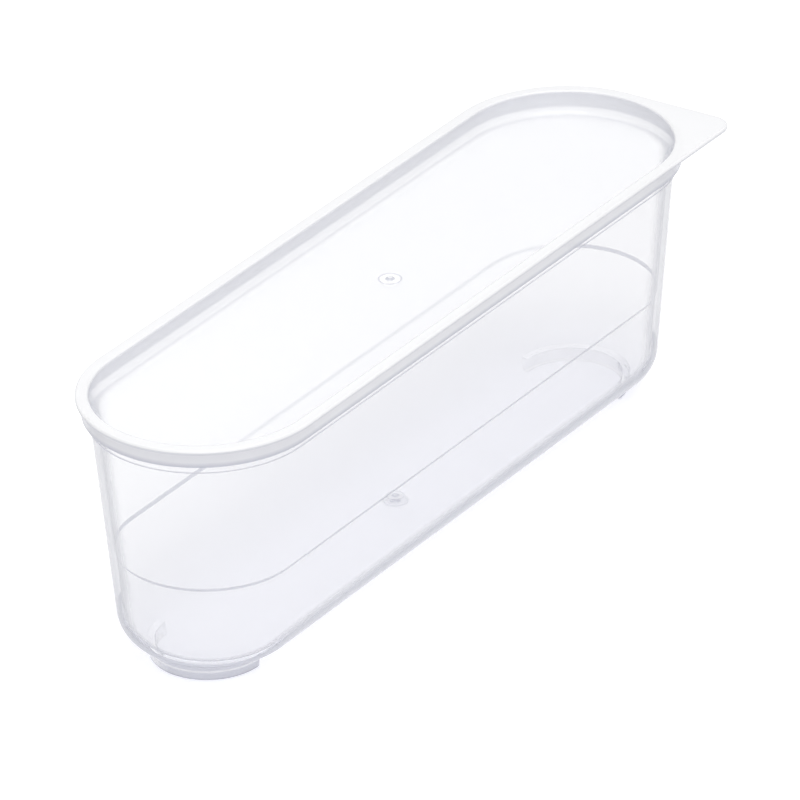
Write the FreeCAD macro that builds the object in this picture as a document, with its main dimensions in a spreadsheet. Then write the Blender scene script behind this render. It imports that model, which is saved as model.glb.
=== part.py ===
import FreeCAD, Part
import math
import os
import re
import Sketcher

# A long, slim dessert cup of clear rigid plastic with its push-on lid.
# Seen from above both pieces are stadium shaped: a straight middle with a half circle at each end.
# Millimetres. +X runs along the cup, +Z is up, and the cup stands on its two feet at Z = 0.
# The lid's pull tab fills the corner at +X, -Y.

SIZES = {
    "lid_length": (150.0, "lid, end to end over its top ring"),
    "lid_width": (42.4, "lid, across its top ring"),
    "cup_height": (48.2, "from the table to the cup's rim"),
    # lid
    "ring_width": (2.0, "flat top ring, from its outer edge to the recess"),
    "roof_thick": (0.8, "plastic above the cup's rim"),
    "lip_reach": (0.62, "top ring stands this far out over the skirt"),
    "lip_thick": (0.9, "height of that lip"),
    "lip_round": (0.35, "rounding of the ring's edges"),
    "skirt_thick": (0.6, "skirt wall"),
    "skirt_depth": (3.6, "skirt, below the rim it sits on"),
    "skirt_lean": (0.25, "skirt draws in by this much at its lower edge"),
    "recess_depth": (3.5, "top ring down to the recessed plate"),
    "recess_lean": (2.2, "recess wall leans in by this much over its depth"),
    "recess_wall": (0.7, "recess wall, measured level"),
    "recess_round": (1.5, "cove between the recess wall and the plate"),
    "plate_thick": (0.8, "recessed plate"),
    "tab_proud": (0.6, "pull tab stands this far beyond the ring's end"),
    "tab_thick": (0.8, "pull tab"),
    "tab_corner": (3.6, "corner radius of the pull tab"),
    "tab_blend": (1.0, "pull tab runs this far on along the ring, past the ring's end"),
    # cup
    "fit_gap": (0.13, "running clearance between lid and cup"),
    "band_height": (4.3, "thick band under the cup's rim"),
    "band_lean": (0.4, "band draws in by this much at its lower edge"),
    "shoulder": (0.55, "step from the band to the wall"),
    "wall_thick": (0.95, "side wall"),
    "wall_lean": (0.0843, "side wall leans in by this much for each unit of height"),
    "ledge_height": (20.2, "fine ledge round the inside, above the table"),
    "ledge_width": (0.2, "width of that ledge"),
    "floor_thick": (1.0, "floor"),
    "base_round": (6.2, "outside radius between wall and floor"),
    "foot_height": (2.6, "feet, from the table to the floor's underside"),
    "foot_radius": (10.5, "outside radius of a foot where it leaves the floor"),
    "foot_lean": (0.3, "foot draws in by this much at the table"),
    "foot_thick": (1.3, "wall of a foot"),
    "foot_shift": (1.0, "centre of a foot's arc, beyond the centre of the round end"),
}

doc = FreeCAD.newDocument("dessert_cup")
sheet = doc.addObject("Spreadsheet::Sheet", "Sizes")
for row, (alias, (value, note)) in enumerate(SIZES.items(), start=1):
    sheet.set("A%d" % row, alias)
    sheet.set("B%d" % row, str(value))
    sheet.set("C%d" % row, note)
    sheet.setAlias("B%d" % row, alias)
doc.recompute()


def sized(text):
    """Turn 'lid_width / 2' into 'Sizes.lid_width / 2', the form that expressions use."""
    return re.sub(r"[a-z]+_[a-z]+|shoulder", lambda word: "Sizes." + word.group(), text)


def worth(text):
    """The number that a size expression comes to now."""
    return float(sheet.evalExpression(sized(text)))


# Sizes that several profiles share, written with the sheet's names. Radii are measured from
# the axis of a round end, which is also the half width of the straight middle.
RING = "(lid_width / 2)"
END_AXIS = "(lid_length - lid_width) / 2"
SKIRT = "(lid_width / 2 - lip_reach)"
BAND = "(lid_width / 2 - lip_reach - skirt_thick - fit_gap)"
RECESS = "(lid_width / 2 - ring_width)"
RECESS_SLOPE = "(recess_lean / recess_depth)"
RIM_INSIDE = "(%s + recess_wall - %s * roof_thick + fit_gap)" % (RECESS, RECESS_SLOPE)
SHOULDER_Z = "(cup_height - band_height)"
FLOOR_TOP = "(foot_height + floor_thick)"


def wall_outside(height):
    """Outside radius of the side wall at a height above the table."""
    return "(%s - band_lean - shoulder - wall_lean * (%s - %s))" % (BAND, SHOULDER_Z, height)


# The bevel inside the rim runs parallel to the lid's recess wall, down to the cup's own wall.
BEVEL_DEPTH = "((%s - %s + wall_thick) / (%s - wall_lean))" % (
    RIM_INSIDE, wall_outside("cup_height"), RECESS_SLOPE)


CUP_PROFILE = [  # (radius, height, rounding)
    ("0", "foot_height", None),
    (wall_outside("foot_height"), "foot_height", "base_round"),
    (wall_outside(SHOULDER_Z), SHOULDER_Z, None),
    ("%s - band_lean" % BAND, SHOULDER_Z, None),
    (BAND, "cup_height", None),
    (RIM_INSIDE, "cup_height", None),
    ("%s - %s * %s" % (RIM_INSIDE, RECESS_SLOPE, BEVEL_DEPTH), "cup_height - %s" % BEVEL_DEPTH, None),
    ("%s - wall_thick" % wall_outside("ledge_height"), "ledge_height", None),
    ("%s - wall_thick - ledge_width" % wall_outside("ledge_height"), "ledge_height", None),
    ("%s - wall_thick - ledge_width" % wall_outside(FLOOR_TOP), FLOOR_TOP, "base_round - wall_thick"),
    ("0", FLOOR_TOP, None),
]

FOOT_PROFILE = [
    ("foot_radius", "foot_height + floor_thick / 2", None),
    ("foot_radius - foot_lean", "0", None),
    ("foot_radius - foot_lean - foot_thick", "0", None),
    ("foot_radius - foot_thick", "foot_height + floor_thick / 2", None),
]

LID_PROFILE = [  # heights from the cup's rim, where the lid sits
    ("0", "roof_thick - recess_depth", None),
    ("%s - recess_lean" % RECESS, "roof_thick - recess_depth", "recess_round"),
    (RECESS, "roof_thick", "lip_round"),
    (RING, "roof_thick", "lip_round"),
    (RING, "roof_thick - lip_thick", "lip_round"),
    (SKIRT, "roof_thick - lip_thick", None),
    ("%s - skirt_lean" % SKIRT, "-skirt_depth", None),
    ("%s - skirt_lean - skirt_thick" % SKIRT, "-skirt_depth", None),
    ("%s - skirt_thick" % SKIRT, "0", None),
    ("%s + recess_wall - %s * roof_thick" % (RECESS, RECESS_SLOPE), "0", None),
    ("%s + recess_wall - %s * (recess_depth + plate_thick)" % (RECESS, RECESS_SLOPE),
     "roof_thick - recess_depth - plate_thick", "recess_round"),
    ("0", "roof_thick - recess_depth - plate_thick", None),
]

TAB_INSIDE = "(lid_width / 2 - ring_width / 2)"  # the tab's inner arc lies within the top ring
TAB_PROFILE = [  # seen from above, measured from the axis of the round end
    ("-tab_blend", "-%s" % TAB_INSIDE, None),
    ("-tab_blend", "-%s" % RING, None),
    ("%s + tab_proud" % RING, "-%s" % RING, "tab_corner"),
    (RING, "tab_blend", None),
    (TAB_INSIDE, "tab_blend", None),
    (TAB_INSIDE, "-%s" % TAB_INSIDE, TAB_INSIDE),
]


def place(sketch, geometry, point, across, up):
    """Hold one point of a sketch at its distances from the sketch's own axes."""
    for kind, axis, text in (("DistanceX", -2, across), ("DistanceY", -1, up)):
        if text == "0":
            sketch.addConstraint(Sketcher.Constraint("PointOnObject", geometry, point, axis))
        else:
            index = sketch.addConstraint(
                Sketcher.Constraint(kind, -1, 1, geometry, point, worth(text)))
            sketch.setExpression("Constraints[%d]" % index, sized(text))


def rounding(before, corner, after, radius):
    """Where a rounding starts and ends, its arc drawn anticlockwise, and which way it turns."""
    to_before = (before - corner).normalize()
    to_after = (after - corner).normalize()
    half_angle = to_before.getAngle(to_after) / 2
    reach = radius / math.tan(half_angle)
    depth = radius / math.sin(half_angle) - radius
    top = corner + (to_before + to_after).normalize() * depth
    start, end = corner + to_before * reach, corner + to_after * reach
    turns_left = to_after.cross(to_before).z > 0
    arc = Part.Arc(start, top, end) if turns_left else Part.Arc(end, top, start)
    return start, end, arc, turns_left


def draw_profile(sketch, corners):
    """Draw a closed outline through its corners, with arcs where a corner has a rounding."""
    spots = [FreeCAD.Vector(worth(across), worth(up), 0) for across, up, _ in corners]
    count = len(corners)
    arrive, leave, arcs = list(spots), list(spots), {}
    for i, (_, _, radius) in enumerate(corners):
        if radius:
            before, after = spots[i - 1], spots[(i + 1) % count]
            arrive[i], leave[i], arc, left = rounding(before, spots[i], after, worth(radius))
            arcs[i] = (arc, left)
    sides = [sketch.addGeometry(Part.LineSegment(leave[i], arrive[(i + 1) % count]), False)
             for i in range(count)]
    for i, (across, up, radius) in enumerate(corners):
        side_in, side_out = sides[i - 1], sides[i]
        if not radius:
            sketch.addConstraint(Sketcher.Constraint("Coincident", side_in, 2, side_out, 1))
            place(sketch, side_out, 1, across, up)
            continue
        arc, left = arcs[i]
        bend = sketch.addGeometry(arc, False)
        near, far = (1, 2) if left else (2, 1)
        sketch.addConstraint(Sketcher.Constraint("Tangent", side_in, 2, bend, near))
        sketch.addConstraint(Sketcher.Constraint("Tangent", side_out, 1, bend, far))
        index = sketch.addConstraint(Sketcher.Constraint("Radius", bend, worth(radius)))
        sketch.setExpression("Constraints[%d]" % index, sized(radius))
        tip = sketch.addGeometry(Part.Point(spots[i]), True)
        place(sketch, tip, 1, across, up)
        sketch.addConstraint(Sketcher.Constraint("PointOnObject", tip, 1, side_in))
        sketch.addConstraint(Sketcher.Constraint("PointOnObject", tip, 1, side_out))


def new_sketch(body, name, role, corners, moved=None):
    """A sketch on one of the body's own planes, moved along X by a size where one is given."""
    sketch = body.newObject("Sketcher::SketchObject", name)
    plane = [item for item in body.Origin.OriginFeatures if item.Role == role][0]
    sketch.AttachmentSupport = (plane, [""])
    sketch.MapMode = "FlatFace"
    if moved:
        sketch.setExpression("AttachmentOffset.Base.x", sized(moved))
    doc.recompute()
    draw_profile(sketch, corners)
    doc.recompute()
    return sketch


def mirrored(body, name, feature, role):
    """The mirror image of a feature, joined to it."""
    copy = body.newObject("PartDesign::Mirrored", name)
    copy.Originals = [feature]
    copy.MirrorPlane = ([item for item in body.Origin.OriginFeatures if item.Role == role][0], [""])
    body.Tip = copy
    doc.recompute()
    return copy


def straight_middle(body, name, corners):
    """A profile run along the straight middle, on both sides."""
    sketch = new_sketch(body, name + "_middle_outline", "YZ_Plane", corners)
    run = body.newObject("PartDesign::Pad", name + "_middle")
    run.Profile = sketch
    run.setExpression("Length", sized("lid_length - lid_width"))
    run.Midplane = True
    body.Tip = run
    doc.recompute()
    mirrored(body, name + "_middle_both", run, "XZ_Plane")


def round_ends(body, name, corners, axis_at):
    """A profile turned through half a circle at each end."""
    sketch = new_sketch(body, name + "_end_outline", "XZ_Plane", corners, axis_at)
    turn = body.newObject("PartDesign::Revolution", name + "_end")
    turn.Profile = sketch
    turn.ReferenceAxis = (sketch, ["V_Axis"])
    turn.Angle = 180
    turn.Midplane = True
    body.Tip = turn
    doc.recompute()
    mirrored(body, name + "_ends", turn, "YZ_Plane")


def new_body(name, moved_up=None):
    """A body whose ring is set back, so that ring and tab together are centred on the origin."""
    body = doc.addObject("PartDesign::Body", name)
    body.Label = name
    body.setExpression("Placement.Base.x", sized("-tab_proud / 2"))
    if moved_up:
        body.setExpression("Placement.Base.z", sized(moved_up))
    doc.recompute()
    return body


def make_cup():
    """Walls, floor, thick rim band and the two curved feet, moulded in one."""
    body = new_body("cup")
    straight_middle(body, "shell", CUP_PROFILE)
    round_ends(body, "shell", CUP_PROFILE, END_AXIS)
    round_ends(body, "foot", FOOT_PROFILE, "%s + foot_shift" % END_AXIS)
    return body


def make_lid():
    """Recessed plate, top ring, skirt and corner pull tab, moulded in one."""
    body = new_body("lid", "cup_height")
    straight_middle(body, "cover", LID_PROFILE)
    round_ends(body, "cover", LID_PROFILE, END_AXIS)
    outline = new_sketch(body, "tab_outline", "XY_Plane", TAB_PROFILE, END_AXIS)
    outline.setExpression("AttachmentOffset.Base.z", sized("roof_thick"))
    tab = body.newObject("PartDesign::Pad", "pull_tab")
    tab.Profile = outline
    tab.setExpression("Length", sized("tab_thick"))
    tab.Reversed = True
    body.Tip = tab
    doc.recompute()
    return body


pieces = [make_cup(), make_lid()]
doc.recompute()

faults = [item.Name for item in doc.Objects if {"Invalid", "Error"} & set(item.State)]
for body in pieces:
    if body.Shape.isNull() or not body.Shape.isValid() or len(body.Shape.Solids) != 1:
        faults.append(body.Name)
if faults:
    raise RuntimeError("these did not build: %s" % ", ".join(faults))

os.makedirs("parts", exist_ok=True)
for body in pieces:
    body.Shape.exportStep("parts/%s.step" % body.Label)
    box = body.Shape.BoundBox
    print("%s: %.2f x %.2f x %.2f mm, %.0f cubic mm"
          % (body.Label, box.XLength, box.YLength, box.ZLength, body.Shape.Volume))
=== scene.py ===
"""A long, slim dessert cup of clear plastic with its push-on lid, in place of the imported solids.

Lengths are metres. The cup stands on the floor at Z = 0, runs along X, and the lid's pull tab fills
the corner at +X, -Y. Both pieces are stadium shaped in plan: a straight middle with round ends.
"""

import math

import bmesh
import bpy
from bpy.props import FloatProperty, FloatVectorProperty, PointerProperty
from mathutils import Matrix, Vector


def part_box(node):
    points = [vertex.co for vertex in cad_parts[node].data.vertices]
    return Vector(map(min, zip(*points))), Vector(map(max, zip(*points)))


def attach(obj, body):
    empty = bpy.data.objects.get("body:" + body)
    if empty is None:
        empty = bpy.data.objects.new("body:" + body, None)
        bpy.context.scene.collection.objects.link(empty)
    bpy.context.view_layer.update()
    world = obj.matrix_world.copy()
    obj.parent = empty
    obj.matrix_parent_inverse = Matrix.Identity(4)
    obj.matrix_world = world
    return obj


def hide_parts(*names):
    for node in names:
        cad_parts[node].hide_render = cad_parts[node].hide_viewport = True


bl_info = {
    "name": "Clear Dessert Cup",
    "version": (1, 0, 0),
    "blender": (4, 5, 0),
    "location": "View3D > Sidebar > Dessert Cup",
    "description": "Builds a clear plastic dessert cup with its lid, and a plain white stage",
    "category": "Object",
}

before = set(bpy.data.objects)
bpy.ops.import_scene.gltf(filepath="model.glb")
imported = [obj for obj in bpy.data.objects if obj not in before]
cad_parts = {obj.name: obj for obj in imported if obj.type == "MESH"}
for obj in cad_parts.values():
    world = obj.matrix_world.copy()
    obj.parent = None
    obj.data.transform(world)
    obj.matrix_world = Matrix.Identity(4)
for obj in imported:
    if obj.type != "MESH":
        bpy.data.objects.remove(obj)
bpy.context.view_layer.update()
CUP_LOW, CUP_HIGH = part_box("cup")
LID_LOW, LID_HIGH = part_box("lid")

MM = 0.001
TOUCH = 0.01 * MM  # places nearer than this count as one
RING_RADIUS = LID_HIGH.y
RING_CENTRE_X = (CUP_LOW.x + CUP_HIGH.x) / 2
END_AXIS = RING_CENTRE_X - LID_LOW.x - RING_RADIUS  # from the middle to a round end's centre
RIM_Z = CUP_HIGH.z
RIM_RADIUS = CUP_HIGH.y


def length(name, value, text):
    """A size in metres that the sidebar shows in the scene's own units."""
    return FloatProperty(name=name, description=text, default=value * MM, unit="LENGTH", precision=5)


class LidSizes(bpy.types.PropertyGroup):
    """Sizes of the lid that the frame's boxes don't give."""

    ring_width: length("Ring width", 2.0, "Flat top ring, from its outer edge to the recess")
    lip_reach: length("Lip reach", 0.62, "How far the ring stands out over the skirt")
    lip_thick: length("Lip height", 0.9, "Height of the lip")
    edge_round: length("Edge rounding", 0.35, "Rounding of the ring's edges")
    skirt_thick: length("Skirt wall", 0.6, "Thickness of the skirt")
    skirt_depth: length("Skirt depth", 3.6, "From the ring's top down to the skirt's lower edge")
    skirt_lean: length("Skirt lean", 0.25, "How far the skirt draws in at its lower edge")
    recess_depth: length("Recess depth", 3.5, "From the ring's top down to the plate")
    recess_lean: length("Recess lean", 2.2, "How far the recess wall leans in over its depth")
    recess_wall: length("Recess wall", 0.7, "Recess wall, measured level")
    cove: length("Cove", 1.5, "Rounding between recess wall and plate")
    plate_thick: length("Plate", 0.8, "Thickness of the recessed plate")
    tab_corner: length("Tab corner", 3.6, "Corner radius of the pull tab")
    tab_reach: length("Tab reach", 0.6, "How far the tab's sharp corner would lie beyond the end")


class CupSizes(bpy.types.PropertyGroup):
    """Sizes of the cup that the frame's boxes don't give."""

    band_height: length("Band height", 4.3, "Thick band under the rim")
    band_lean: length("Band lean", 0.4, "How far the band draws in at its lower edge")
    shoulder: length("Shoulder", 0.55, "Step from the band to the wall")
    wall_thick: length("Wall", 0.95, "Thickness of the side wall")
    wall_lean: FloatProperty(name="Wall lean", default=0.0843, precision=4,
                             description="How far the wall leans in for each unit of height")
    rim_width: length("Rim width", 0.343, "Flat top of the rim")
    ledge_height: length("Ledge height", 20.2, "Height of the fine ledge round the inside")
    ledge_width: length("Ledge width", 0.2, "Width of that ledge")
    floor_thick: length("Floor", 1.0, "Thickness of the floor")
    base_round: length("Base rounding", 6.2, "Outside radius between wall and floor")
    foot_height: length("Foot height", 2.6, "Height of the two curved feet")
    foot_radius: length("Foot radius", 10.5, "Outside radius of a foot at the floor")
    foot_lean: length("Foot lean", 0.3, "How far a foot draws in at the table")
    foot_thick: length("Foot wall", 1.3, "Thickness of a foot's wall")
    foot_shift: length("Foot shift", 1.0, "Centre of a foot's arc beyond the round end's centre")


class Finish(bpy.types.PropertyGroup):
    """Look of the clear plastic, with the colours and strengths of its painted shade."""

    cup_tint: FloatVectorProperty(
        name="Cup tint", subtype="COLOR", size=3, min=0, max=1, default=(0.85, 0.852, 0.885),
        description="The cup's own colour, which it also gives the light that passes")
    lid_tint: FloatVectorProperty(
        name="Lid tint", subtype="COLOR", size=3, min=0, max=1, default=(0.945, 0.948, 0.965),
        description="The lid's own colour, which it also gives the light that passes")
    # Painted shade: the grey that the grey mark mixes in on lines, edges and feet. Below 0 the mark
    # pushes the colour the other way, into a painted highlight.
    shade_tint: FloatVectorProperty(
        name="Grey tint", subtype="COLOR", size=3, min=0, max=1, default=(0.55, 0.56, 0.64),
        description="Colour of the fine lines, edges and feet that show grey")
    # Painted shade where the plastic is seen edge on and where the turned mark says it turns away,
    # standing in for the darker surroundings that real plastic mirrors there. The edge strengths below
    # set how much of it hides what lies behind.
    turned_shade_tint: FloatVectorProperty(
        name="Turned tint", subtype="COLOR", size=3, min=0, max=1, default=(0.72, 0.73, 0.775),
        description="Colour of the plastic where its surface turns away")
    cup_edge: FloatProperty(name="Cup's edge strength", default=0.76, min=0, max=1,
                            description="How much the cup hides where it is seen edge on")
    lid_edge: FloatProperty(name="Lid's edge strength", default=0.12, min=0, max=1,
                            description="How much the lid hides where it is seen edge on")
    cup_milk: FloatProperty(name="Cup milkiness", default=0.14, min=0, max=1,
                            description="How much the cup hides where it is seen square on")
    lid_milk: FloatProperty(name="Lid milkiness", default=0.42, min=0, max=1,
                            description="How much the lid hides where it is seen square on")
    bend: FloatProperty(name="Refraction", default=1.5, min=1, max=2,
                        description="Refractive index, which sets how strongly the plastic mirrors")
    gloss: FloatProperty(name="Roughness", default=0.02, min=0, max=1,
                         description="Roughness of the moulded surface where it is clean")
    shade: FloatProperty(name="Shadow", default=0.25, min=0, max=1,
                         description="How much of its milkiness the plastic adds to its shadow")


class Stage(bpy.types.PropertyGroup):
    """Camera, floor and lamps."""

    azimuth: FloatProperty(name="Azimuth", subtype="ANGLE", default=math.radians(-54.91),
                           description="Camera's turn about Z; 0 looks along +Y")
    elevation: FloatProperty(name="Elevation", subtype="ANGLE", default=math.radians(28.53),
                             description="Camera's height above the horizon")
    roll: FloatProperty(name="Roll", subtype="ANGLE", default=math.radians(-1.35),
                        description="Camera's turn about its own axis")
    lens: FloatProperty(name="Lens", default=360.0, description="Focal length in millimetres")
    distance: length("Distance", 1350.9, "Camera to the point that it aims at")
    aim_right: length("Aim right", 1.76, "Aim point, to the right of the lid's middle in the view")
    aim_up: length("Aim up", -23.55, "Aim point, above the lid's middle in the view")
    room_light: FloatProperty(name="Room light", default=0.5,
                              description="Strength of the even light from all round")
    floor_glow: FloatProperty(name="Floor white", default=0.3, min=0, max=1,
                              description="Share of plain white in the floor as the camera sees it")
    key_power: FloatProperty(name="Key lamp", unit="POWER", default=7.7, min=0,
                             description="Power of the large lamp above")
    fill_power: FloatProperty(name="Fill lamp", unit="POWER", default=1.2, min=0,
                              description="Power of the small lamp at the near end")


# ---------------------------------------------------------------- meshes

ARC_STEPS = 96  # segments of each round end
SIDE_STEPS = 12  # segments of each straight side
ROUND_STEPS = 8  # segments of each small rounded edge
BASE_STEPS = 24  # segments of the large roundings at the floor
LARGE_ROUND = 3 * MM  # a rounding with a larger radius than this gets BASE_STEPS
MERGE_GAP = 1e-6  # points nearer than this become one
FLAT_GAP = 1e-7  # faces narrower than this are dropped
NO_LENGTH = 1e-12  # keeps a division by a length off zero

# Each point carries four marks that its plastic's colour and alpha follow: how grey it is, which is
# painted shade (below 0, how white, which is painted highlight), how much it hides, how much it
# hides and how much painted shade it takes where it turns away from the eye, and how thin it is.
LOOK_MARKS = ("grey", "veil", "turned", "thin")


def look(grey=0.0, veil=0.0, turned=0.0, thin=0.0, ends=None):
    """A row of marks: those for the straight sides, then those for the round ends."""
    marks = (grey, veil, turned, thin)
    return marks + (ends or marks)[:len(marks)]


CLEAR = look()
# The ring and tab are drawn denser than the lid and whiter than its tint: a painted highlight.
RING_HIGHLIGHT = look(grey=-0.07, veil=0.88)  # the lid's flat ring and its tab
# Painted highlights: these push the colour past the plastic's tint towards white.
GLINT = look(grey=-0.3, veil=0.6)  # a bright line
FOOT_GLINT = look(grey=-0.45, veil=0.75)
SHEEN = look(ends=GLINT)  # a bright line at the round ends alone
# Painted shade: faint and dark grey lines where the real plastic looks dark at its edges and steps.
FAINT_SHADE = look(grey=1.0, veil=0.12)
SHADE_LINE = look(grey=1.0, veil=0.6)
DARK_SHADE_LINE = look(grey=1.0, veil=0.65)
# Painted shade on the large rounding at the floor, greyer on the round ends.
BASE_SHADE = look(grey=0.25, turned=0.8, ends=look(grey=0.35, turned=0.85))
# Painted shade on the lid's skirt, greyer on the round ends.
SKIRT_SHADE = look(grey=0.2, veil=0.55, ends=look(grey=0.33, veil=0.65))
# Painted shade on the lid's lip.
LIP_SHADE = look(grey=0.55, veil=0.78)
# Painted shade on the band just above the foot at -X.
FOOT_TOP_SHADE = look(grey=0.7, veil=0.3, turned=0.9)  # the band just above a foot
# Painted shade down the recess wall, greyest at its top.
RECESS_HIGH_SHADE = look(grey=0.47)
RECESS_LOW_SHADE = look(grey=0.14)


def blend(first, second, share):
    """The row of marks that lies a share of the way from the first to the second."""
    return tuple(a + (b - a) * share for a, b in zip(first, second))


def clamp(value):
    return min(max(value, 0.0), 1.0)


def rounded(corners):
    """Points of an open outline of (across, up, rounding, marks), with an arc at each rounded corner.
    A fifth entry is the marks at the arc's end, where they aren't the same all along."""
    points = []
    for i, (across, up, radius, marks, *end_marks) in enumerate(corners):
        corner = Vector((across, up))
        if not radius:
            points.append((across, up, marks))
            continue
        before = (Vector(corners[i - 1][:2]) - corner).normalized()
        after = (Vector(corners[i + 1][:2]) - corner).normalized()
        half_angle = before.angle(after) / 2
        centre = corner + (before + after).normalized() * (radius / math.sin(half_angle))
        start = corner + before * (radius / math.tan(half_angle)) - centre
        end = corner + after * (radius / math.tan(half_angle)) - centre
        turn = start.angle(end)
        last = end_marks[0] if end_marks else marks
        steps = BASE_STEPS if radius > LARGE_ROUND else ROUND_STEPS
        for step in range(steps + 1):
            share = step / steps
            arm = (start * math.sin((1 - share) * turn) + end * math.sin(share * turn)) / math.sin(turn)
            points.append((*(centre + arm), blend(marks, last, share)))
    return points


def stadium(half_length, radius, z):
    """Points round a stadium, anticlockwise from the -Y side of the +X end."""
    points = []
    for side in (1, -1):
        for step in range(ARC_STEPS + 1):
            angle = math.pi * (step / ARC_STEPS - 0.5)
            x = half_length + radius * math.cos(angle)
            points.append(Vector((side * x, side * radius * math.sin(angle), z)))
        for step in range(1, SIDE_STEPS):
            x = half_length * (1 - 2 * step / SIDE_STEPS)
            points.append(Vector((side * x, side * radius, z)))
    return points


def marks_at(point, marks):
    """The half of a row of marks that counts at a point: straight side or round end."""
    first = len(LOOK_MARKS) if abs(point.x) > END_AXIS - TOUCH else 0
    return marks[first:first + len(LOOK_MARKS)]


def placed(name, mesh):
    """Turn a finished bmesh into an object in the scene."""
    data = bpy.data.meshes.new(name)
    mesh.to_mesh(data)
    mesh.free()
    piece = bpy.data.objects.new(name, data)
    bpy.context.collection.objects.link(piece)
    return piece


def skin(name, rings):
    """A closed mesh through rings of equal count, each with its row of marks. The first and the
    last ring are closed at their middle."""
    mesh = bmesh.new()
    layers = [mesh.verts.layers.float.new(mark) for mark in LOOK_MARKS]
    rows = []
    for points, marks in rings:
        row = [mesh.verts.new(point) for point in points]
        for vert in row:
            for layer, amount in zip(layers, marks_at(vert.co, marks)):
                vert[layer] = amount
        rows.append(row)
    for low, high in zip(rows, rows[1:]):
        for i in range(len(low)):
            j = (i + 1) % len(low)
            mesh.faces.new((low[i], low[j], high[j], high[i]))
    for row, flip in ((rows[0], True), (rows[-1], False)):
        middle = mesh.verts.new(sum((vert.co for vert in row), Vector()) / len(row))
        for i in range(len(row)):
            j = (i + 1) % len(row)
            mesh.faces.new((row[j], row[i], middle) if flip else (row[i], row[j], middle))
    bmesh.ops.remove_doubles(mesh, verts=mesh.verts, dist=MERGE_GAP)
    bmesh.ops.dissolve_degenerate(mesh, dist=FLAT_GAP, edges=mesh.edges)
    bmesh.ops.recalc_face_normals(mesh, faces=mesh.faces)
    return placed(name, mesh)


def smooth(piece, sharp_angle=32.0):
    """Smooth shading that leans on the large faces and keeps real edges crisp."""
    for face in piece.data.polygons:
        face.use_smooth = True
    piece.data.set_sharp_from_angle(angle=math.radians(sharp_angle))
    weighted = piece.modifiers.new("even shading", "WEIGHTED_NORMAL")
    weighted.keep_sharp = True
    weighted.weight = 100  # the most that area can count for


def gate_mark(z, side, radius, nub):
    """Rings of the small mark where the plastic entered the mould: a nub inside a round dish.
    side is +1 on a face that looks up and -1 on one that looks down; the rings run outwards."""
    dish = -0.06 * MM
    lip = 0.05 * MM
    # The marks paint a highlight on the nub's top and across the dish, and shade in rings round the nub
    # and on the dish's rim.
    outline = (  # share of the radius, height, marks
        (0.12, nub, GLINT), (0.2, nub, SHADE_LINE), (0.36, nub * 0.4, SHADE_LINE), (0.45, dish, GLINT),
        (0.85, dish, GLINT), (0.93, lip, FAINT_SHADE), (1.0, lip, FAINT_SHADE), (1.1, 0.0, CLEAR))
    return [(stadium(0, radius * share, z + side * height), marks)
            for share, height, marks in outline]


def join(piece, other):
    """Unite a closed mesh with another, and drop the other."""
    union = piece.modifiers.new("join", "BOOLEAN")
    union.operation = "UNION"
    union.solver = "EXACT"
    union.object = other
    with bpy.context.temp_override(object=piece, active_object=piece):
        bpy.ops.object.modifier_apply(modifier=union.name)
    bpy.data.objects.remove(other)


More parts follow.
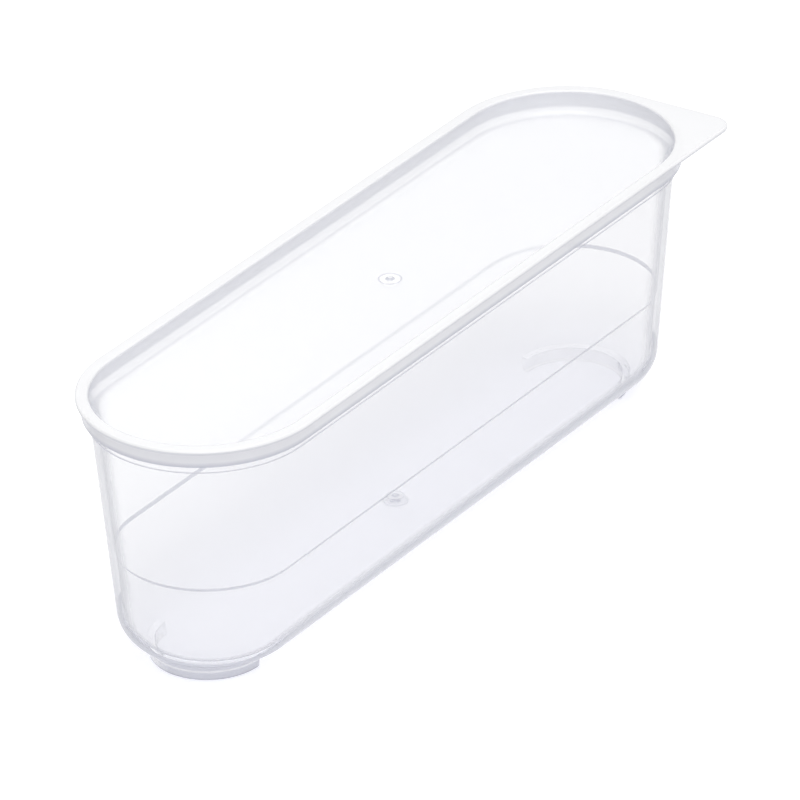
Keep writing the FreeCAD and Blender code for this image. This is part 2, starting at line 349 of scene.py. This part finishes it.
def make_cup(sizes):
    """The cup: floor, walls, fine inside ledge, bevelled rim, thick band and the two feet."""
    band_bottom = RIM_Z - sizes.band_height
    band_low_radius = RIM_RADIUS - sizes.band_lean
    floor_top = sizes.foot_height + sizes.floor_thick

    def wall(z):
        return band_low_radius - sizes.shoulder - sizes.wall_lean * (band_bottom - z)

    lid = bpy.context.scene.dessert_lid
    bevel_slope = lid.recess_lean / lid.recess_depth
    rim_inside = RIM_RADIUS - sizes.rim_width
    bevel_depth = (rim_inside - wall(RIM_Z) + sizes.wall_thick) / (bevel_slope - sizes.wall_lean)
    lower_wall = sizes.wall_thick + sizes.ledge_width
    base_edge = wall(sizes.foot_height)
    arc_edge = base_edge - 0.95 * sizes.base_round  # just inside the base rounding
    floor_edge = base_edge - 1.6 * sizes.base_round  # the last ring before the floor's middle
    fade = 0.2 * MM  # how far beside its edge a line fades out
    shoulder_round = 0.15 * MM
    band_round = 0.12 * MM
    rim_round = 0.08 * MM
    bevel_round = 0.3 * MM
    outline = rounded([
        (floor_edge, sizes.foot_height, 0, CLEAR),
        (arc_edge, sizes.foot_height, 0, CLEAR),
        # Painted shade along the large rounding at the floor.
        (base_edge, sizes.foot_height, sizes.base_round, BASE_SHADE),
        (wall(sizes.foot_height + sizes.base_round), sizes.foot_height + sizes.base_round, 0, CLEAR),
        (wall(band_bottom - 2 * fade), band_bottom - 2 * fade, 0, CLEAR),
        # A painted highlight just under the band on the round ends, then a painted dark shade line at
        # the band's lower edge.
        (wall(band_bottom - fade), band_bottom - fade, 0, SHEEN),
        (wall(band_bottom), band_bottom, shoulder_round, SHEEN),
        (band_low_radius, band_bottom, band_round, DARK_SHADE_LINE),
        (band_low_radius + sizes.band_lean * fade / sizes.band_height, band_bottom + fade, 0, CLEAR),
        (RIM_RADIUS, RIM_Z, band_round, CLEAR),
        (rim_inside, RIM_Z, rim_round, CLEAR),
        (rim_inside - bevel_slope * bevel_depth, RIM_Z - bevel_depth, bevel_round, CLEAR),
        (wall(sizes.ledge_height + fade) - sizes.wall_thick, sizes.ledge_height + fade, 0, CLEAR),
        # A painted shade line along the fine ledge.
        (wall(sizes.ledge_height) - sizes.wall_thick, sizes.ledge_height, 0, SHADE_LINE),
        (wall(sizes.ledge_height - 2 * fade) - lower_wall, sizes.ledge_height - 2 * fade, 0, SHADE_LINE),
        (wall(sizes.ledge_height - 3 * fade) - lower_wall, sizes.ledge_height - 3 * fade, 0, CLEAR),
        (wall(floor_top) - lower_wall, floor_top, sizes.base_round - sizes.wall_thick, CLEAR),
        (floor_edge, floor_top, 0, CLEAR),
    ])
    rings = gate_mark(sizes.foot_height, side=-1, radius=2.3 * MM, nub=0.5 * MM)
    rings += [(stadium(END_AXIS, radius, z), marks) for radius, z, marks in outline]
    rings += reversed(gate_mark(floor_top, side=1, radius=1.6 * MM, nub=0.1 * MM))
    cup = skin("cup_shell", rings)
    for side in (1, -1):
        join(cup, make_foot(sizes, side))
    mark_joints(cup, [point for point in outline if point[1] < 2 * sizes.base_round], sizes)
    cup.location.x = RING_CENTRE_X
    return cup


FOOT_SEAM = 0.03 * MM  # from the floor's underside down to the first ring of points on a foot
# A foot's bright line is a painted highlight.
FOOT_LINE = 0.66  # height of a foot's bright line, as a share of the foot's height
FOOT_LINE_FADE = 0.33 * MM  # how far above and below that line it fades out
# A foot's grey is painted shade on its -Y side, less on the foot at +X.
FOOT_VEIL = 0.6  # how much a foot hides where it shows grey
FOOT_THIN = 0.8  # how thin a foot's walls look elsewhere
SOLE_THIN = 0.5  # and how thin its sole looks
SOLE_HEIGHT = 0.35 * MM
FRONT_SPAN = 1.1  # how quickly the grey fades from a foot's -Y side to its +Y side
FAR_FOOT_LESS = 1.2  # how much less of it the foot at +X shows
# The grey band above the foot at -X is painted shade:
BAND_FROM = 0.12  # foot of the grey band above a foot, as a share of the base rounding
BAND_FROM_FADE = 0.07
BAND_TO = 0.62  # top of that band
BAND_TO_FADE = 0.15
JOINT_MARGIN = 0.1 * MM  # how far before a foot's ends the points are marked again


def foot_line(sizes):
    """Heights of the painted highlight line round a foot: just above it, on it and just below it."""
    return [FOOT_LINE * sizes.foot_height + step * FOOT_LINE_FADE for step in (1, 0, -1)]


def marks_near(outline, reach, z):
    """How far off an outline a point lies, and the marks at the nearest place on it."""
    point = Vector((reach, z))
    best = (math.inf, CLEAR)
    for (reach_a, z_a, marks_a), (reach_b, z_b, marks_b) in zip(outline, outline[1:]):
        start = Vector((reach_a, z_a))
        along = Vector((reach_b, z_b)) - start
        share = clamp((point - start).dot(along) / max(along.length_squared, NO_LENGTH))
        gap = (start + along * share - point).length
        if gap < best[0]:
            best = (gap, blend(marks_a, marks_b, share))
    return best


def foot_front(sizes, x, y):
    """How far a place on a foot lies on the side where the foot has painted shade, from 0 to 1."""
    front = FRONT_SPAN - FRONT_SPAN * y / sizes.foot_radius
    return clamp(front - FAR_FOOT_LESS if x > 0 else front)


def foot_marks(sizes, x, y, z):
    """A foot's look: painted shade on the outside towards -Y, with a painted highlight line round it
    there.
    """
    reach = math.hypot(abs(x) - END_AXIS - sizes.foot_shift, y)
    inside = reach < sizes.foot_radius - sizes.foot_lean - 0.5 * sizes.foot_thick
    thin = FOOT_THIN if z > SOLE_HEIGHT else SOLE_THIN
    if inside or abs(x) < END_AXIS + sizes.foot_shift + TOUCH:
        return look(thin=thin)
    front = foot_front(sizes, x, y)
    _, on_line, _ = foot_line(sizes)
    if abs(z - on_line) < TOUCH and front > 0.5:
        return FOOT_GLINT
    return look(grey=front, veil=FOOT_VEIL * front, thin=thin * (1 - front))


def mark_joints(cup, outline, sizes):
    """Set the marks again round the feet, where uniting them with the cup has made new points.
    Above the foot at -X, it also paints shade in a band on the foot's -Y side.
    """
    marks = [cup.data.attributes[mark].data for mark in LOOK_MARKS]
    for vert in cup.data.vertices:
        x, y, z = vert.co
        beyond = abs(x) - END_AXIS
        high = z > sizes.foot_height + sizes.base_round
        if high or beyond < sizes.foot_shift - JOINT_MARGIN:
            continue
        if z < sizes.foot_height - 0.5 * FOOT_SEAM:
            amounts = foot_marks(sizes, x, y, z)
        else:
            reach = math.hypot(beyond, y)
            gap, amounts = marks_near(outline, reach, z)
            if gap > 2 * TOUCH:
                continue
            rise = (z - sizes.foot_height) / sizes.base_round
            in_band = clamp((rise - BAND_FROM) / BAND_FROM_FADE) * clamp((BAND_TO - rise) / BAND_TO_FADE)
            # Painted shade in the band above the foot at -X, on its -Y side.
            if x < 0 and amounts[LOOK_MARKS.index("turned")]:
                amounts = blend(amounts, FOOT_TOP_SHADE, in_band * foot_front(sizes, x, y))
        for mark, amount in zip(marks, marks_at(vert.co, amounts)):
            mark[vert.index].value = amount


def make_foot(sizes, side):
    """One curved foot: half a ring under a round end, open towards the middle."""
    top = sizes.foot_height + 0.5 * sizes.floor_thick
    low = sizes.foot_radius - sizes.foot_lean
    lean = sizes.foot_lean / top
    sole_round = 0.3 * MM
    section = [(sizes.foot_radius, top)]
    for z in (sizes.foot_height - FOOT_SEAM, *foot_line(sizes)):
        section.append((low + lean * z, z))
    section += [point[:2] for point in rounded([
        (sizes.foot_radius, top, 0, CLEAR),
        (low, 0, sole_round, CLEAR),
        (low - sizes.foot_thick, 0, sole_round, CLEAR),
        (sizes.foot_radius - sizes.foot_thick, top, 0, CLEAR),
    ])[1:]]
    mesh = bmesh.new()
    rows = []
    centre = END_AXIS + sizes.foot_shift
    for step in range(ARC_STEPS + 1):
        angle = math.pi * (step / ARC_STEPS - 0.5)
        rows.append([mesh.verts.new((side * (centre + radius * math.cos(angle)),
                                     side * radius * math.sin(angle), z)) for radius, z in section])
    count = len(section)
    for near, far in zip(rows, rows[1:]):
        for i in range(count):
            j = (i + 1) % count
            mesh.faces.new((near[i], near[j], far[j], far[i]))
    mesh.faces.new(rows[0])
    mesh.faces.new(rows[-1])
    bmesh.ops.recalc_face_normals(mesh, faces=mesh.faces)
    return placed("foot", mesh)


def tab_edge(inset, z, sizes):
    """The ring's edge where the pull tab fills the corner: from the -Y side round to the +X end."""
    side = Vector((END_AXIS, -RING_RADIUS))
    corner = Vector((END_AXIS + RING_RADIUS + sizes.tab_reach, -RING_RADIUS))
    end = Vector((END_AXIS + RING_RADIUS, 0.0))
    bend = rounded([(*side, 0, CLEAR), (*corner, sizes.tab_corner, CLEAR), (*end, 0, CLEAR)])[1:-1]
    bend = [Vector(point[:2]) for point in bend]
    quarter = ARC_STEPS // 2
    before = (quarter + 1 - len(bend)) // 2
    after = quarter + 1 - len(bend) - before
    first = [side.lerp(bend[0], i / before) for i in range(before)]
    last = [bend[-1].lerp(end, (i + 1) / after) for i in range(after)]
    path = first + bend + last
    points = []
    for i, point in enumerate(path):
        ahead = path[min(i + 1, quarter)] - path[max(i - 1, 0)]
        outward = Vector((ahead.y, -ahead.x)).normalized()
        if i == 0:
            outward = Vector((0, -1))
        if i == quarter:
            outward = Vector((1, 0))
        points.append((point - outward * inset).to_3d() + Vector((0, 0, z)))
    return points


def make_lid(sizes):
    """The lid: recessed plate, top ring, skirt over the rim, and the pull tab."""
    roof = LID_HIGH.z - RIM_Z
    skirt_low = LID_HIGH.z - sizes.skirt_depth
    skirt = RING_RADIUS - sizes.lip_reach
    recess = RING_RADIUS - sizes.ring_width
    slope = sizes.recess_lean / sizes.recess_depth
    plate_top = LID_HIGH.z - sizes.recess_depth
    plate_under = plate_top - sizes.plate_thick
    middle = recess - sizes.recess_lean - 2.5 * sizes.cove  # the last ring before the plate's middle
    foot_of_wall = recess + sizes.recess_wall - slope * (sizes.recess_depth + sizes.plate_thick)
    fine_round = 0.1 * MM
    skirt_round = 0.2 * MM
    line_top = skirt_low + 0.27 * MM  # the dark line along the skirt's lower edge
    line_gone = skirt_low + 1.08 * MM
    fade = 0.45 * MM  # depth under the ring's edge at which the recess wall is at its greyest
    under = rounded([
        (middle, plate_under, 0, CLEAR),
        (foot_of_wall, plate_under, sizes.cove, CLEAR),
        (recess + sizes.recess_wall - slope * roof, RIM_Z, fine_round, CLEAR),
        (skirt - sizes.skirt_thick, RIM_Z, fine_round, CLEAR),
        (skirt - sizes.skirt_thick - sizes.skirt_lean, skirt_low, skirt_round, CLEAR),
        # A painted dark shade line along the skirt's lower edge, then painted grey shade up the skirt.
        (skirt - sizes.skirt_lean, skirt_low, skirt_round, DARK_SHADE_LINE),
        (skirt - 0.9 * sizes.skirt_lean, line_top, 0, DARK_SHADE_LINE),
        (skirt - 0.6 * sizes.skirt_lean, line_gone, 0, SKIRT_SHADE),
        (skirt, LID_HIGH.z - sizes.lip_thick, fine_round, SKIRT_SHADE),
        (RING_RADIUS, LID_HIGH.z - sizes.lip_thick, 0, SKIRT_SHADE),
    ])[:-1]
    lip = rounded([
        # Painted shade on the lip, then a painted highlight over the ring's top edge.
        (skirt, LID_HIGH.z - sizes.lip_thick, 0, LIP_SHADE),
        (RING_RADIUS, LID_HIGH.z - sizes.lip_thick, sizes.edge_round, LIP_SHADE),
        (RING_RADIUS, LID_HIGH.z, sizes.edge_round, RING_HIGHLIGHT),
        (recess, LID_HIGH.z, 0, RING_HIGHLIGHT),
    ])[1:-1]
    top = rounded([
        # A painted highlight on the ring's top, then painted shade down the recess wall, greyest just
        # under the ring's edge.
        (RING_RADIUS, LID_HIGH.z, 0, RING_HIGHLIGHT),
        (recess, LID_HIGH.z, sizes.edge_round, RING_HIGHLIGHT),
        (recess - slope * fade, LID_HIGH.z - fade, 0, RECESS_HIGH_SHADE),
        (recess - sizes.recess_lean, plate_top, sizes.cove, RECESS_LOW_SHADE, CLEAR),
        (recess - sizes.recess_lean - sizes.cove, plate_top, 0, CLEAR),
        (middle, plate_top, 0, CLEAR),
    ])[1:]
    rings = gate_mark(plate_under, side=-1, radius=1.5 * MM, nub=0.1 * MM)
    rings += [(stadium(END_AXIS, radius, z), marks) for radius, z, marks in under]
    for radius, z, marks in lip:
        ring = stadium(END_AXIS, radius, z)
        ring[:ARC_STEPS // 2 + 1] = tab_edge(RING_RADIUS - radius, z, sizes)
        rings.append((ring, marks))
    rings += [(stadium(END_AXIS, radius, z), marks) for radius, z, marks in top]
    rings += reversed(gate_mark(plate_top, side=1, radius=2.0 * MM, nub=0.35 * MM))
    lid = skin("lid_cover", rings)
    lid.location.x = RING_CENTRE_X
    return lid


# ---------------------------------------------------------------- materials

HAZE_SCALE = 45.0  # a larger scale makes a finer noise
WAVE_SCALE = 60.0
SCUFF_SCALE = 900.0
NOISE_DETAIL = 1.0
SCUFF_LEVEL = 0.66  # the noise is over this where there is a scuff
HAZE_ROUGHNESS = 0.02
SCUFF_ROUGHNESS = 0.05
WAVE_STRENGTH = 0.08
WAVE_HEIGHT = 0.05 * MM
# The slants below set where the plastic takes its painted shade.
STEEP = (0.52, 0.93)  # slants, 0 square on and 1 edge on, over which the edge strength comes in
TURNED = (0.54, 0.64)  # slants over which the "turned" mark comes in
TURNED_TINT = 1.3  # how strongly that mark brings the turned tint with it
FLOOR_GRAIN = 30.0
FLOOR_PALE = (0.93, 0.93, 0.94, 1)
FLOOR_DEEP = (0.91, 0.91, 0.92, 1)
PURE_WHITE = (1, 1, 1, 1)
BLACK = (0, 0, 0, 1)


class Signal:
    """An output socket. Arithmetic on it adds Math nodes to its tree."""

    def __init__(self, recipe, socket):
        self.recipe = recipe
        self.socket = socket

    def maths(self, operation, first, second):
        return self.recipe.node("Math", {"operation": operation}, {0: first, 1: second})

    def __add__(self, other):
        return self.maths("ADD", self, other)

    __radd__ = __add__

    def __mul__(self, other):
        return self.maths("MULTIPLY", self, other)

    __rmul__ = __mul__

    def __sub__(self, other):
        return self.maths("SUBTRACT", self, other)

    def __rsub__(self, other):
        return self.maths("SUBTRACT", other, self)

    def __gt__(self, other):
        return self.maths("GREATER_THAN", self, other)

    def __lt__(self, other):
        return self.maths("LESS_THAN", self, other)

    def highest(self, other):
        return self.maths("MAXIMUM", self, other)


class Recipe:
    """The nodes of one material or world."""

    def __init__(self, owner):
        owner.use_nodes = True
        self.tree = owner.node_tree
        self.tree.nodes.clear()

    def node(self, kind, settings=None, values=None, output=0):
        """Add a node: its settings first, then the values or links of its sockets."""
        item = self.tree.nodes.new("ShaderNode" + kind)
        for name, value in (settings or {}).items():
            setattr(item, name, value)
        for name, value in (values or {}).items():
            if isinstance(value, Signal):
                self.tree.links.new(value.socket, item.inputs[name])
            else:
                item.inputs[name].default_value = value
        return Signal(self, item.outputs[output])

    def ease(self, signal, low, high):
        """0 below low, 1 above high, and a smooth rise between."""
        return self.node("MapRange", {"interpolation_type": "SMOOTHSTEP"},
                         {"Value": signal, "From Min": low, "From Max": high})

    def mix(self, share, first, second, clamp_share=True):
        """A colour that lies a share of the way from the first to the second."""
        settings = {"data_type": "RGBA", "clamp_factor": clamp_share}
        return self.node("Mix", settings, {"Factor": share, "A": first, "B": second}, output=2)

    def finish(self, shader, kind="OutputMaterial"):
        end = self.tree.nodes.new("ShaderNode" + kind)
        self.tree.links.new(shader.socket, end.inputs["Surface"])


def clear_plastic(name, tint, veil, edge_share, finish):
    """Clear moulded plastic: faint flow waves from the mould, a little haze and fine scuffs. Its colour
    also carries painted shade and painted highlights from the marks, and painted shade seen edge on.
    veil is the share of its own colour that it shows where it is unmarked and seen square on."""
    material = bpy.data.materials.new(name)
    recipe = Recipe(material)
    place = recipe.node("TexCoord", output="Object")
    haze, scuffs, waves = [
        recipe.node("TexNoise", None, {"Vector": place, "Scale": scale, "Detail": NOISE_DETAIL})
        for scale in (HAZE_SCALE, SCUFF_SCALE, WAVE_SCALE)]
    grey, hidden, turned, thin = [
        recipe.node("Attribute", {"attribute_name": mark}, output="Fac") for mark in LOOK_MARKS]
    slant = recipe.node("LayerWeight", None, {"Blend": 0.5}, output="Facing")
    # Painted shade where the surface is seen edge on and where the turned mark says it turns away.
    steep = recipe.ease(slant, *STEEP)
    turned = turned * recipe.ease(slant, *TURNED)
    side_on = recipe.mix(steep.highest(turned * TURNED_TINT), (*tint, 1), (*finish.turned_shade_tint, 1))
    # The grey mark mixes in painted shade; below 0 it pushes past the tint into a painted highlight.
    colour = recipe.mix(grey, side_on, (*finish.shade_tint, 1), clamp_share=False)
    seen = hidden.highest(turned).highest(steep * edge_share) * (1 - veil) + veil
    bumps = recipe.node("Bump", None, {
        "Strength": WAVE_STRENGTH, "Distance": WAVE_HEIGHT, "Height": waves})
    body = recipe.node("BsdfPrincipled", None, {
        "Base Color": colour,
        "Roughness": haze * HAZE_ROUGHNESS + (scuffs > SCUFF_LEVEL) * SCUFF_ROUGHNESS + finish.gloss,
        "IOR": finish.bend,
        "Alpha": seen * (1 - thin),
        "Normal": bumps,
    })
    passed = [part * (1 - finish.shade * veil) for part in tint]
    passing = recipe.node("BsdfTransparent", None, {"Color": (*passed, 1)})
    lamp_ray = recipe.node("LightPath", output="Is Shadow Ray")
    shader = recipe.node("MixShader", None, {0: lamp_ray, 1: body, 2: passing})
    recipe.finish(shader)
    return material


def white_when_seen(recipe):
    """1 for rays that show the surroundings to the eye: directly, mirrored or through plastic."""
    direct = recipe.node("LightPath", output="Is Camera Ray")
    mirrored = recipe.node("LightPath", output="Is Glossy Ray")
    through = recipe.node("LightPath", output="Is Transmission Ray")
    return direct.highest(mirrored).highest(through)


def floor_paint(stage):
    """Plain matt white that keeps the cup's shadow."""
    material = bpy.data.materials.new("floor_white")
    recipe = Recipe(material)
    place = recipe.node("TexCoord", output="Object")
    grain = recipe.node("TexNoise", None, {"Vector": place, "Scale": FLOOR_GRAIN})
    paint = recipe.node("BsdfDiffuse", None, {"Color": recipe.mix(grain, FLOOR_PALE, FLOOR_DEEP)})
    glow = recipe.node("Emission", None, {"Color": PURE_WHITE, "Strength": 1.0})
    seen = white_when_seen(recipe) * stage.floor_glow
    dark = recipe.node("BsdfTransparent", None, {"Color": BLACK})
    extra = recipe.node("MixShader", None, {0: seen, 1: dark, 2: glow})
    recipe.finish(recipe.node("AddShader", None, {0: paint, 1: extra}))
    return material


# ---------------------------------------------------------------- operators

FLOOR_HALF = 3.0  # half the floor's width
CLEAR_LAYERS = 32  # layers of clear plastic that a ray may pass
LAMPS = {  # place, width
    "key": ((-0.15, -0.25, 1.2), 0.9),
    "fill": ((-0.8, -0.5, 0.5), 0.5),
}


class DESSERT_OT_cup(bpy.types.Operator):
    """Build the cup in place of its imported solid"""

    bl_idname = "dessert.cup"
    bl_label = "Cup"

    def execute(self, context):
        finish = context.scene.dessert_finish
        cup = make_cup(context.scene.dessert_cup)
        smooth(cup)
        cup.data.materials.append(
            clear_plastic("clear_cup", finish.cup_tint, finish.cup_milk, finish.cup_edge, finish))
        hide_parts("cup")
        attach(cup, "root")
        return {"FINISHED"}


class DESSERT_OT_lid(bpy.types.Operator):
    """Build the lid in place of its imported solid"""

    bl_idname = "dessert.lid"
    bl_label = "Lid"

    def execute(self, context):
        finish = context.scene.dessert_finish
        lid = make_lid(context.scene.dessert_lid)
        smooth(lid)
        lid.data.materials.append(
            clear_plastic("clear_lid", finish.lid_tint, finish.lid_milk, finish.lid_edge, finish))
        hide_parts("lid")
        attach(lid, "root")
        return {"FINISHED"}


class DESSERT_OT_stage(bpy.types.Operator):
    """Lay the white floor and set the room's light, the lamps and the camera"""

    bl_idname = "dessert.stage"
    bl_label = "Stage"

    def execute(self, context):
        stage = context.scene.dessert_stage
        self.floor(stage)
        self.room(context.scene, stage)
        self.lamps(stage)
        self.camera(context.scene, stage)
        context.scene.view_settings.view_transform = "Standard"
        context.scene.cycles.transparent_max_bounces = CLEAR_LAYERS
        return {"FINISHED"}

    def floor(self, stage):
        mesh = bmesh.new()
        bmesh.ops.create_grid(mesh, x_segments=8, y_segments=8, size=FLOOR_HALF)
        floor = placed("floor", mesh)
        floor.data.materials.append(floor_paint(stage))

    def room(self, scene, stage):
        scene.world = bpy.data.worlds.new("room")
        recipe = Recipe(scene.world)
        lit = recipe.node("Background", None, {"Color": PURE_WHITE, "Strength": stage.room_light})
        seen = recipe.node("Background", None, {"Color": PURE_WHITE, "Strength": 1.0})
        both = recipe.node("MixShader", None, {0: white_when_seen(recipe), 1: lit, 2: seen})
        recipe.finish(both, "OutputWorld")

    def lamps(self, stage):
        for name, (place, width) in LAMPS.items():
            data = bpy.data.lights.new(name, "AREA")
            data.shape = "DISK"
            data.size = width
            data.energy = getattr(stage, name + "_power")
            lamp = bpy.data.objects.new(name, data)
            lamp.location = place
            lamp.rotation_euler = (-Vector(place)).to_track_quat("-Z", "Y").to_euler()
            bpy.context.collection.objects.link(lamp)

    def camera(self, scene, stage):
        turn = stage.azimuth
        rise = stage.elevation
        back = Vector((math.sin(turn) * math.cos(rise), -math.cos(turn) * math.cos(rise),
                       math.sin(rise)))
        right = Vector((0, 0, 1)).cross(back).normalized()
        up = back.cross(right)
        level = Matrix((right, up, back)).transposed()
        facing = level @ Matrix.Rotation(stage.roll, 3, "Z")
        middle = Vector((RING_CENTRE_X, 0, LID_HIGH.z))
        place = middle + facing @ Vector((stage.aim_right, stage.aim_up, stage.distance))
        data = bpy.data.cameras.new("camera")
        data.lens = stage.lens
        data.clip_start = 0.05
        data.clip_end = 10.0
        camera = bpy.data.objects.new("camera", data)
        camera.matrix_world = Matrix.Translation(place) @ facing.to_4x4()
        bpy.context.collection.objects.link(camera)
        scene.camera = camera


class DESSERT_PT_panel(bpy.types.Panel):
    """Lists the pieces and their sizes"""

    bl_idname = "DESSERT_PT_panel"
    bl_label = "Dessert Cup"
    bl_space_type = "VIEW_3D"
    bl_region_type = "UI"
    bl_category = "Dessert Cup"

    def draw(self, context):
        for group, action in (("dessert_cup", "dessert.cup"), ("dessert_lid", "dessert.lid"),
                              ("dessert_finish", None), ("dessert_stage", "dessert.stage")):
            box = self.layout.box()
            sizes = getattr(context.scene, group)
            for name in sizes.__annotations__:
                box.prop(sizes, name)
            if action:
                box.operator(action)


GROUPS = {"dessert_lid": LidSizes, "dessert_cup": CupSizes, "dessert_finish": Finish,
          "dessert_stage": Stage}
CLASSES = (*GROUPS.values(), DESSERT_OT_cup, DESSERT_OT_lid, DESSERT_OT_stage, DESSERT_PT_panel)


def register():
    for item in CLASSES:
        bpy.utils.register_class(item)
    for name, group in GROUPS.items():
        setattr(bpy.types.Scene, name, PointerProperty(type=group))


def unregister():
    for name in GROUPS:
        delattr(bpy.types.Scene, name)
    for item in reversed(CLASSES):
        bpy.utils.unregister_class(item)


def main():
    register()
    bpy.ops.dessert.stage()
    bpy.ops.dessert.cup()
    bpy.ops.dessert.lid()


if __name__ == "__main__":
    main()
